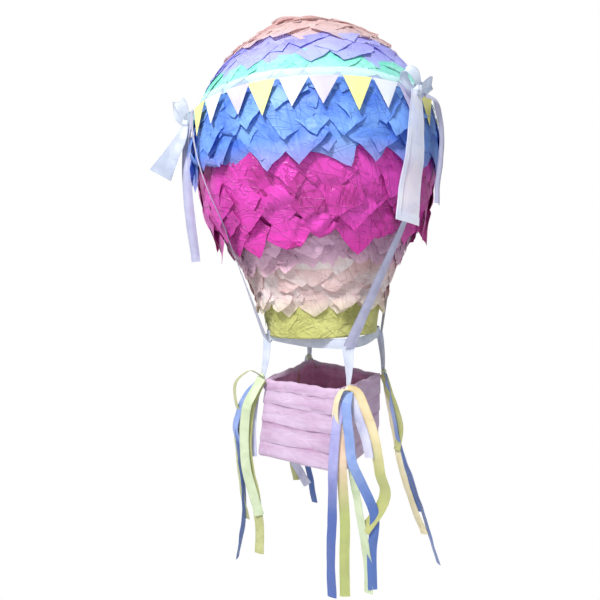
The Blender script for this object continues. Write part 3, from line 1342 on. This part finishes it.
# ---------------------------------------------------------------- streamers
# For each corner: colour, width, the direction across (right, near, up) and the route from the
# knot as (right, near, down).
STREAMERS = {
    "front_left": [
        ("lime", 10.2, (0.3, 0.9, 0.2), [
            (0, 2, 0), (-14, 3, -9), (-28, 3, -1), (-34, 2, 12), (-33, 1, 30), (-29, 0, 44),
        ]),
        ("sky", 10.5, (0.8, 0.6, 0.0), [
            (-2, 3, 2), (-16, 5, 15), (-27, 4, 34), (-35, 3, 60), (-29, 2, 82), (-22, 1, 104),
            (-19, 0, 132),
        ]),
        ("pale", 11.5, (0.9, 0.3, 0.1), [
            (-1, 5, 0), (-11, 9, 16), (-20, 10, 36), (-24, 9, 74), (-22, 8, 108), (-15, 8, 138),
            (-9, 8, 161),
        ]),
        ("lime", 12.0, (1.0, 0.2, 0.0), [
            (-1, 3, 2), (-9, 5, 18), (-17, 6, 40), (-21, 5, 76), (-19, 4, 110), (-13, 4, 140),
            (-10, 5, 176), (-11, 5, 207),
        ]),
        ("sky_blue", 10.2, (0.5, -0.8, 0.0), [
            (-2, 0, 3), (-17, 1, 26), (-31, 1, 56), (-32, 1, 80), (-28, 0, 120), (-29, -1, 165),
            (-33, -1, 190), (-38, 0, 214),
        ]),
        ("lime", 10.2, (0.8, 0.6, 0.0), [
            (-2, -3, 4), (-22, -3, 34), (-34, -3, 62), (-33, -4, 95), (-31, -4, 135),
            (-25, -4, 170),
        ]),
        ("lilac", 12.5, (0.9, 0.5, 0.0), [
            (-2, 0, 2), (-11, 1, 26), (-16, 1, 62), (-16, 0, 94),
        ]),
    ],
    "front_right": [
        ("cream", 10.2, (0.4, 0.9, 0.1), [
            (0, 4, -2), (-7, 7, -3), (-13, 8, 8), (-15, 7, 26), (-13, 6, 38),
        ]),
        ("cream_lime", 13.0, (0.9, 0.4, 0.1), [
            (0, 4, -2), (9, 7, 1), (16, 8, 16), (22, 7, 34), (27, 7, 58), (31, 7, 88), (36, 6, 108),
            (30, 5, 126), (18, 5, 142), (12, 5, 150),
        ]),
        ("sky_blue", 10.5, (1.0, 0.1, 0.2), [
            (0, 6, -1), (-3, 10, 18), (-1, 10, 48), (1, 9, 74), (10, 8, 97), (21, 7, 124),
            (23, 6, 141), (19, 5, 174), (18, 5, 213),
        ]),
        ("lilac_blue", 10.8, (0.9, 0.3, 0.0), [
            (-2, 4, 0), (-11, 8, 20), (-17, 8, 53), (-20, 8, 85), (-23, 7, 138), (-26, 6, 182),
            (-26, 6, 219),
        ]),
        ("peach_lime", 11.0, (1.0, 0.2, 0.0), [
            (-1, 4, 2), (-8, 7, 26), (-10, 7, 64), (-10, 6, 96), (-9, 5, 140), (-11, 5, 178),
            (-12, 5, 219),
        ]),
        ("lilac", 11.0, (0.8, 0.3, 0.3), [
            (2, 3, 2), (10, 5, 28), (17, 5, 52), (20, 5, 72),
        ]),
        ("pale", 10.2, (0.7, 0.7, 0.0), [
            (0, 2, 4), (-2, 3, 40), (0, 3, 72), (3, 3, 100), (7, 3, 132), (12, 3, 165),
            (14, 3, 192), (14, 3, 218),
        ]),
    ],
    "back_right": [
        ("sky_blue", 10.2, (0.4, 0.9, 0.0), [
            (0, 1, 0), (5, 3, 25), (11, 4, 60), (15, 4, 92), (21, 4, 120), (30, 4, 152),
            (37, 4, 176),
        ]),
        ("lime", 10.2, (0.8, 0.5, 0.1), [
            (0, 3, 2), (6, 5, 24), (14, 6, 48), (18, 6, 67), (15, 5, 86), (13, 5, 98),
        ]),
        ("cream", 10.2, (0.5, 0.8, 0.2), [
            (0, 0, 3), (7, 1, 44), (14, 2, 96), (21, 3, 134), (29, 3, 163), (37, 3, 186),
            (44, 3, 206),
        ]),
        ("sky_blue", 10.2, (0.5, 0.85, 0.0), [
            (1, 2, 2), (9, 2, 52), (20, 2, 104), (32, 2, 140), (43, 2, 180), (53, 2, 216),
            (60, 2, 244),
        ]),
    ],
    "back_left": [
        ("lilac", 11.5, (0.9, 0.3, 0.2), [
            (0, -1, 0), (-10, -4, 40), (-22, -6, 96), (-28, -6, 138), (-19, -6, 160), (-9, -6, 178),
        ]),
        ("sky_blue", 10.2, (0.9, 0.4, 0.0), [
            (0, -3, 2), (-6, -8, 70), (-9, -9, 140), (-5, -9, 172), (0, -9, 204),
        ]),
        ("lime", 10.2, (0.9, 0.4, 0.0), [
            (-1, -3, 2), (-14, -9, 72), (-28, -9, 138), (-24, -9, 172),
        ]),
    ],
}


def make_streamers():
    """Curling ribbons tied in at the basket's corners."""
    for corner, bundle in STREAMERS.items():
        start = basket_knot(corner)
        for number, (colour, width, way, route) in enumerate(bundle, start=1):
            points = [start + RIGHT * right + NEAR * near - UP * down for right, near, down in route]
            make_ribbon(
                f"streamer_{corner}_{number}",
                f"streamers_{corner}",
                "streamer_" + colour,
                "streamer_mixed",
                points,
                seen(*way),
                width,
                "hung",
                [f"basket_knot_{corner}_tied"],
                nodes=[] if number > 1 else [f"streamers_{corner}"],
                arch=0.12,
                ripple=0.5,
                seed=200 + number + len(corner),
                twist=14.0 * (-1) ** number,
            )


# ---------------------------------------------------------------- parts that stay as CAD made them
def finish_cad_nodes():
    """Materials of the CAD parts that stay in view."""
    finishes = {
        "hanging_loop": "twine",
        "crown_eye": "twine",
        "toggle_dowel": "dowel_wood",
        "crown_disc": "card",
        "envelope_shell": "papier_mache",
        "neck_plate": "card",
        "trap_door": "card",
    }
    for node, material in finishes.items():
        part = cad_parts[node]
        part.data.materials.clear()
        part.data.materials.append(MATERIALS[material])


# ---------------------------------------------------------------- camera, stage and light
CAMERA_DISTANCE = 604.4
CAMERA_HEIGHT = 72.0
CAMERA_PITCH = 1.14
CAMERA_ROLL = 2.17
FOCAL_LENGTH = 29.03
SENSOR = 36.0
SHIFT_X = -0.0335
SHIFT_Y = -0.05


def make_camera():
    """Camera level with the lower balloon, tipped up and rolled slightly."""
    pitch = math.radians(CAMERA_PITCH)
    roll = math.radians(CAMERA_ROLL)
    ahead = -NEAR * math.cos(pitch) + UP * math.sin(pitch)
    above = UP * math.cos(pitch) + NEAR * math.sin(pitch)
    x_axis = RIGHT * math.cos(roll) - above * math.sin(roll)
    y_axis = above * math.cos(roll) + RIGHT * math.sin(roll)
    place = (NEAR * CAMERA_DISTANCE + UP * (CAMERA_HEIGHT + COLLAR_Z)) * MM
    data = bpy.data.cameras.new("camera")
    data.lens = FOCAL_LENGTH
    data.sensor_width = SENSOR
    data.shift_x = SHIFT_X
    data.shift_y = SHIFT_Y
    data.clip_start = 0.01
    camera = bpy.data.objects.new("camera", data)
    bpy.context.scene.collection.objects.link(camera)
    spin = Matrix((x_axis, y_axis, -ahead)).transposed()
    camera.matrix_world = Matrix.Translation(Vector(place)) @ spin.to_4x4()
    bpy.context.scene.camera = camera


def bright_shader(name, white, lit):
    """A pale surface that lamps light by one amount and that shows as plain white."""
    material = bpy.data.materials.new(name)
    material.use_nodes = True
    tree = material.node_tree
    tree.nodes.clear()
    diffuse = tree.nodes.new("ShaderNodeBsdfDiffuse")
    diffuse.inputs["Color"].default_value = (lit, lit, lit, 1)
    glow = tree.nodes.new("ShaderNodeEmission")
    glow.inputs["Strength"].default_value = white
    path = tree.nodes.new("ShaderNodeLightPath")
    mix = tree.nodes.new("ShaderNodeMixShader")
    output = tree.nodes.new("ShaderNodeOutputMaterial")
    tree.links.new(path.outputs["Is Camera Ray"], mix.inputs[0])
    tree.links.new(diffuse.outputs[0], mix.inputs[1])
    tree.links.new(glow.outputs[0], mix.inputs[2])
    tree.links.new(mix.outputs[0], output.inputs["Surface"])
    return material


def make_stage():
    """Pale floor well below the streamers."""
    mesh = bpy.data.meshes.new("floor")
    reach = 3.0
    level = -0.95
    corners = [(-reach, -reach, level), (reach, -reach, level), (reach, reach, level), (-reach, reach, level)]
    mesh.from_pydata(corners, [], [(0, 1, 2, 3)])
    mesh.materials.append(bright_shader("floor", 1.0, 0.75))
    floor = bpy.data.objects.new("floor", mesh)
    bpy.context.scene.collection.objects.link(floor)


def make_light(name, bearing, height, distance, size, power, colour=(1, 1, 1)):
    """A soft square lamp aimed at the balloon's middle; lengths are metres here."""
    data = bpy.data.lights.new(name, "AREA")
    data.size = size
    data.energy = power
    data.color = colour
    lamp = bpy.data.objects.new(name, data)
    bpy.context.scene.collection.objects.link(lamp)
    target = Vector((0, 0, (COLLAR_Z + 150) * MM))
    way = Vector(around(1.0, bearing, 0.0))
    lamp.location = target + way * distance * math.cos(math.radians(height)) + Vector(
        (0, 0, distance * math.sin(math.radians(height)))
    )
    lamp.rotation_euler = (target - lamp.location).to_track_quat("-Z", "Y").to_euler()


def make_world(ambient):
    """Even grey light with a white backdrop."""
    world = bpy.data.worlds.new("studio")
    world.use_nodes = True
    tree = world.node_tree
    soft = tree.nodes["Background"]
    soft.inputs["Color"].default_value = (0.94, 0.96, 1.0, 1)
    soft.inputs["Strength"].default_value = ambient
    backdrop = tree.nodes.new("ShaderNodeBackground")
    backdrop.inputs["Color"].default_value = (1, 1, 1, 1)
    path = tree.nodes.new("ShaderNodeLightPath")
    mix = tree.nodes.new("ShaderNodeMixShader")
    tree.links.new(path.outputs["Is Camera Ray"], mix.inputs[0])
    tree.links.new(soft.outputs[0], mix.inputs[1])
    tree.links.new(backdrop.outputs[0], mix.inputs[2])
    tree.links.new(mix.outputs[0], tree.nodes["World Output"].inputs["Surface"])
    bpy.context.scene.world = world


def make_studio():
    """Key light left of the viewer and above, three weaker lamps and even ambient light."""
    make_light("key", 4.0, 44.0, 1.6, 0.3, 34.0, (1.0, 0.99, 0.98))
    make_light("low_fill", 25.0, -22.0, 1.8, 1.2, 5.0, (1.0, 0.98, 0.98))
    make_light("back", 215.0, 30.0, 1.8, 1.0, 9.0, (0.96, 0.98, 1.0))
    make_light("fill", 60.0, 10.0, 1.8, 1.2, 3.0, (0.94, 0.96, 1.0))
    make_world(0.44)
    bpy.context.scene.view_settings.view_transform = "Standard"


# ---------------------------------------------------------------- everything
make_camera()
make_stage()
make_studio()
finish_cad_nodes()
for band_number, tissue_band in enumerate(BANDS):
    make_tissue_band(band_number, tissue_band)
make_lime_wrap()
make_girdle()
make_pennants()
for corner_name in CORNERS:
    make_suspension(corner_name)
    make_bow(corner_name)
make_tails()
make_collar()
make_small_knots()
for corner_name in CORNERS:
    make_strap(corner_name)
make_basket()
make_streamers()
